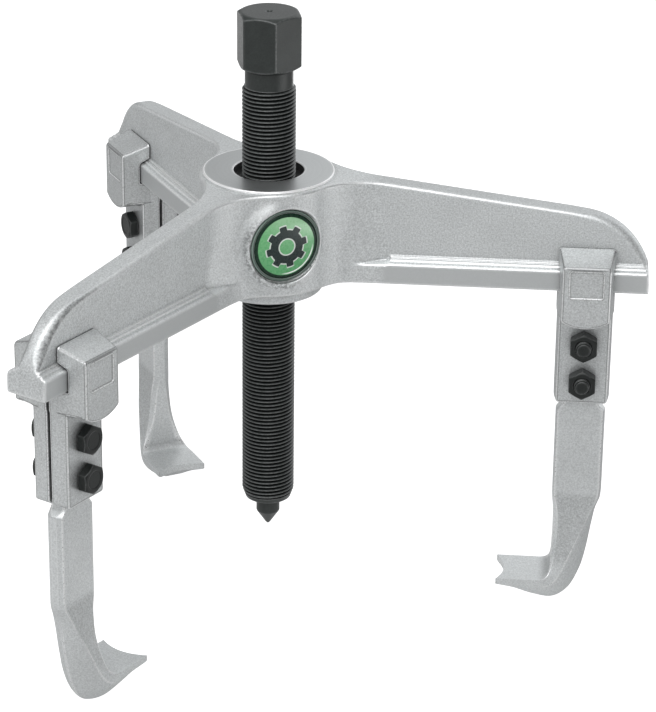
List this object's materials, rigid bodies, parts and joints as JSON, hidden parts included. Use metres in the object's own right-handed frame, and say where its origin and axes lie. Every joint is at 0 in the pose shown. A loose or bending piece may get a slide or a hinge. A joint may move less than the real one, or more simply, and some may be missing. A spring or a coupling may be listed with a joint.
{
  "type": "gear puller",
  "caption": "Three-arm gear puller with a fine-thread spindle through a rigid beam and sliding clamped hook jaws that grip a gear or bearing from outside.",
  "frame": {"origin": "on the spindle axis at the machined top face of the hub", "axes": "+Z along the spindle towards its hexagon, +X along the right arm, the back and left arms at 120 and 240 degrees about +Z"},
  "size_m": [0.2214, 0.2556, 0.234],
  "materials": {
    "satin_steel": "fine-grained satin plated forging, machined hub face",
    "satin_steel_clamp": "fine-grained satin plated casting, bright rounded edges",
    "satin_steel_hook": "fine-grained satin plated forging",
    "black_oxide": "black oxide, satin, rolled thread",
    "black_fastener": "black oxide fasteners",
    "bright_steel": "polished hardened steel",
    "badge_black": "gloss black badge plate",
    "badge_green": "green domed resin"
  },
  "bodies": {
    "beam_body": {"beam": "satin_steel", "badge_plate": "badge_black", "badge_dome": "badge_green"},
    "point_body": {"centre_point": "black_oxide"},
    "spindle_body": {"spindle": "black_oxide", "thrust_ball": "bright_steel", "point_retaining_ring": "bright_steel"},
    "right_jaw": {"right_clamp_nut_side": "satin_steel_clamp", "right_clamp_bolt_side": "satin_steel_clamp", "right_hook": "satin_steel_hook", "right_bolts": "black_fastener", "right_nuts": "black_fastener"},
    "back_jaw": {"back_clamp_nut_side": "satin_steel_clamp", "back_clamp_bolt_side": "satin_steel_clamp", "back_hook": "satin_steel_hook", "back_bolts": "black_fastener", "back_nuts": "black_fastener"},
    "left_jaw": {"left_clamp_nut_side": "satin_steel_clamp", "left_clamp_bolt_side": "satin_steel_clamp", "left_hook": "satin_steel_hook", "left_bolts": "black_fastener", "left_nuts": "black_fastener"}
  },
  "joints": [
    {"name": "point_travel", "type": "slide", "parent": "beam_body", "child": "point_body", "axis": [0, 0, 1], "range_m": [-0.037, 0.0795]},
    {"name": "spindle_turn", "type": "hinge", "parent": "point_body", "child": "spindle_body", "pos_m": [0, 0, 0], "axis": [0, 0, 1], "range_deg": [-8890, 19095]},
    {"name": "right_jaw_slide", "type": "slide", "parent": "beam_body", "child": "right_jaw", "axis": [1, 0, 0], "range_m": [-0.0615, 0.012]},
    {"name": "back_jaw_slide", "type": "slide", "parent": "beam_body", "child": "back_jaw", "axis": [-0.5, 0.866, 0], "range_m": [-0.0585, 0.015]},
    {"name": "left_jaw_slide", "type": "slide", "parent": "beam_body", "child": "left_jaw", "axis": [-0.5, -0.866, 0], "range_m": [-0.0625, 0.011]}
  ],
  "couplings": [
    {"joint": "spindle_turn", "follows": "point_travel", "rad_per_m": 4188.8}
  ]
}
